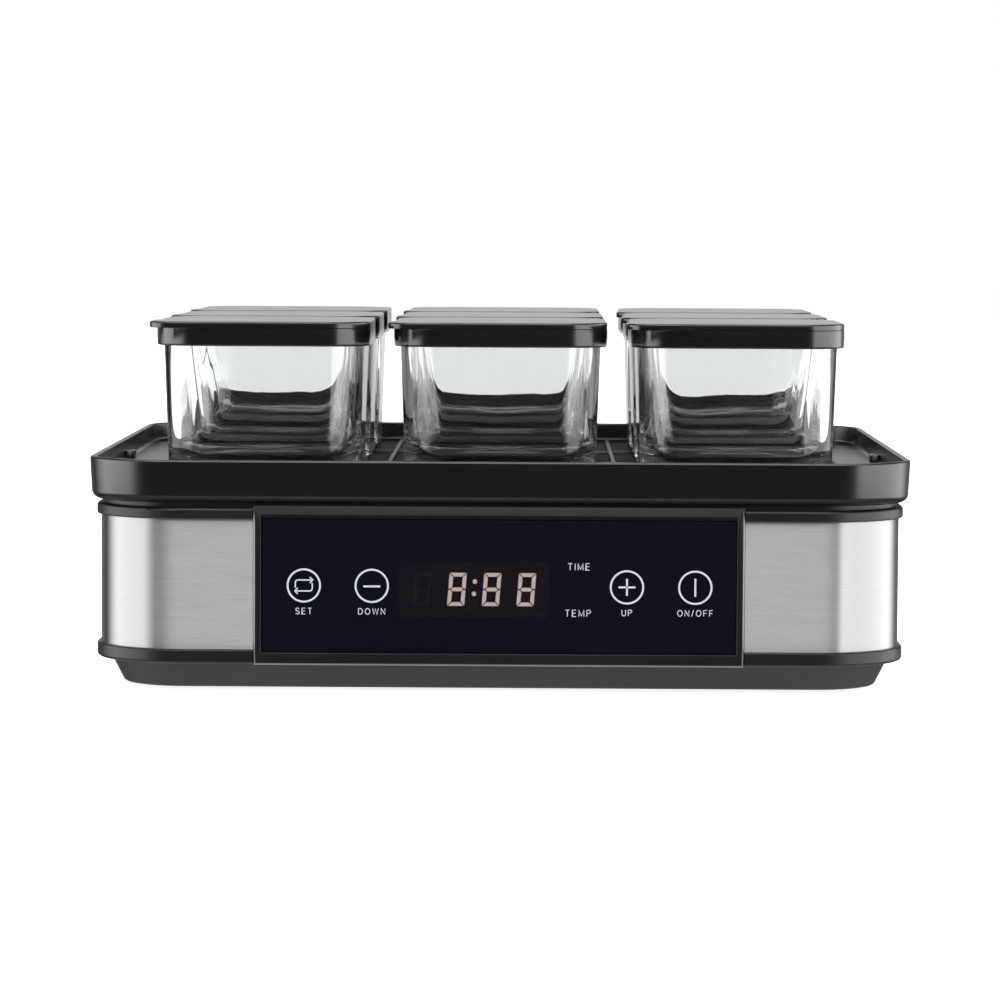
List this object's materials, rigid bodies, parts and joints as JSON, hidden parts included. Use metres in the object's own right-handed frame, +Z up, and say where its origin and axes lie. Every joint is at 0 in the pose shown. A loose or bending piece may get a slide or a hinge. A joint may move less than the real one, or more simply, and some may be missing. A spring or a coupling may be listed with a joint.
{
  "type": "yogurt maker",
  "caption": "Low rectangular warming base with a brushed steel band, a glossy tray and a touch control panel in front, holding square glass jars with flat lids.",
  "frame": {"origin": "on the surface the feet stand on, under the middle of the body", "axes": "+X to the right along the long side, +Y from the control panel to the back, +Z up"},
  "size_m": [0.2954, 0.268, 0.1321],
  "materials": {
    "plinth_plastic": "fine moulded matte texture",
    "trim_plastic": "satin moulded plastic",
    "inner_plastic": "plain moulded plastic",
    "brushed_steel": "brushed along the band",
    "gloss_black": "polished black plastic",
    "rubber": "matt rubber",
    "screw_steel": "zinc plated",
    "aluminium": "plain sheet",
    "silicone": "silicone sleeve",
    "felt": "needled glass felt",
    "zinc_sheet": "galvanised sheet",
    "component_metal": "drawn can",
    "component_black": "epoxy",
    "bezel_plastic": "satin moulded plastic",
    "adhesive_tape": "foam tape",
    "panel_glass": "back-printed black glass",
    "circuit_board": "green solder mask",
    "display_case": "moulded display block",
    "led_light": "milky epoxy light guides",
    "conductive_foam": "carbon loaded foam",
    "transformer_steel": "laminated core with tape",
    "relay_case": "blue relay case",
    "capacitor_sleeve": "printed sleeve, blank",
    "terminal_plastic": "nylon block",
    "lead_sleeve": "insulated leads",
    "ribbon": "flat cable",
    "jar_glass": "clear pressed glass",
    "lid_plastic": "satin black plastic"
  },
  "bodies": {
    "root": {"base_plinth": "plinth_plastic", "bottom_trim": "trim_plastic", "middle_housing": "inner_plastic", "steel_band": "brushed_steel", "top_trim": "trim_plastic", "jar_tray": "gloss_black", "rubber_feet": "rubber", "housing_screws": "screw_steel", "heat_plate": "aluminium", "heater_wire": "silicone", "insulation_pad": "felt", "heat_shield": "zinc_sheet", "shield_screws": "screw_steel", "thermal_fuse": "component_metal", "temperature_sensor": "component_black", "control_bezel": "bezel_plastic", "panel_gasket": "adhesive_tape", "glass_panel": "panel_glass", "control_board": "circuit_board", "board_screws": "screw_steel", "led_display": "display_case", "led_segments": "led_light", "touch_pads": "conductive_foam", "indicator_leds": "led_light", "buzzer": "component_black", "power_board": "circuit_board", "power_board_screws": "screw_steel", "transformer": "transformer_steel", "relay": "relay_case", "capacitors": "capacitor_sleeve", "terminal_block": "terminal_plastic", "mains_leads": "lead_sleeve", "heater_leads": "silicone", "ribbon_cable": "ribbon", "cord_gland": "inner_plastic"},
    "jar_body_1": {"jar_1": "jar_glass"},
    "lid_body_1": {"lid_1": "lid_plastic"},
    "jar_body_2": {"jar_2": "jar_glass"},
    "lid_body_2": {"lid_2": "lid_plastic"},
    "jar_body_3": {"jar_3": "jar_glass"},
    "lid_body_3": {"lid_3": "lid_plastic"},
    "jar_body_4": {"jar_4": "jar_glass"},
    "lid_body_4": {"lid_4": "lid_plastic"},
    "jar_body_5": {"jar_5": "jar_glass"},
    "lid_body_5": {"lid_5": "lid_plastic"},
    "jar_body_6": {"jar_6": "jar_glass"},
    "lid_body_6": {"lid_6": "lid_plastic"},
    "jar_body_7": {"jar_7": "jar_glass"},
    "lid_body_7": {"lid_7": "lid_plastic"},
    "jar_body_8": {"jar_8": "jar_glass"},
    "lid_body_8": {"lid_8": "lid_plastic"},
    "jar_body_9": {"jar_9": "jar_glass"},
    "lid_body_9": {"lid_9": "lid_plastic"}
  },
  "joints": [
    {"name": "jar_lift_1", "type": "slide", "parent": "root", "child": "jar_body_1", "axis": [0, 0, 1], "range_m": [0, 0.07]},
    {"name": "lid_lift_1", "type": "slide", "parent": "jar_body_1", "child": "lid_body_1", "axis": [0, 0, 1], "range_m": [0, 0.03]},
    {"name": "jar_lift_2", "type": "slide", "parent": "root", "child": "jar_body_2", "axis": [0, 0, 1], "range_m": [0, 0.07]},
    {"name": "lid_lift_2", "type": "slide", "parent": "jar_body_2", "child": "lid_body_2", "axis": [0, 0, 1], "range_m": [0, 0.03]},
    {"name": "jar_lift_3", "type": "slide", "parent": "root", "child": "jar_body_3", "axis": [0, 0, 1], "range_m": [0, 0.07]},
    {"name": "lid_lift_3", "type": "slide", "parent": "jar_body_3", "child": "lid_body_3", "axis": [0, 0, 1], "range_m": [0, 0.03]},
    {"name": "jar_lift_4", "type": "slide", "parent": "root", "child": "jar_body_4", "axis": [0, 0, 1], "range_m": [0, 0.07]},
    {"name": "lid_lift_4", "type": "slide", "parent": "jar_body_4", "child": "lid_body_4", "axis": [0, 0, 1], "range_m": [0, 0.03]},
    {"name": "jar_lift_5", "type": "slide", "parent": "root", "child": "jar_body_5", "axis": [0, 0, 1], "range_m": [0, 0.07]},
    {"name": "lid_lift_5", "type": "slide", "parent": "jar_body_5", "child": "lid_body_5", "axis": [0, 0, 1], "range_m": [0, 0.03]},
    {"name": "jar_lift_6", "type": "slide", "parent": "root", "child": "jar_body_6", "axis": [0, 0, 1], "range_m": [0, 0.07]},
    {"name": "lid_lift_6", "type": "slide", "parent": "jar_body_6", "child": "lid_body_6", "axis": [0, 0, 1], "range_m": [0, 0.03]},
    {"name": "jar_lift_7", "type": "slide", "parent": "root", "child": "jar_body_7", "axis": [0, 0, 1], "range_m": [0, 0.07]},
    {"name": "lid_lift_7", "type": "slide", "parent": "jar_body_7", "child": "lid_body_7", "axis": [0, 0, 1], "range_m": [0, 0.03]},
    {"name": "jar_lift_8", "type": "slide", "parent": "root", "child": "jar_body_8", "axis": [0, 0, 1], "range_m": [0, 0.07]},
    {"name": "lid_lift_8", "type": "slide", "parent": "jar_body_8", "child": "lid_body_8", "axis": [0, 0, 1], "range_m": [0, 0.03]},
    {"name": "jar_lift_9", "type": "slide", "parent": "root", "child": "jar_body_9", "axis": [0, 0, 1], "range_m": [0, 0.07]},
    {"name": "lid_lift_9", "type": "slide", "parent": "jar_body_9", "child": "lid_body_9", "axis": [0, 0, 1], "range_m": [0, 0.03]}
  ]
}
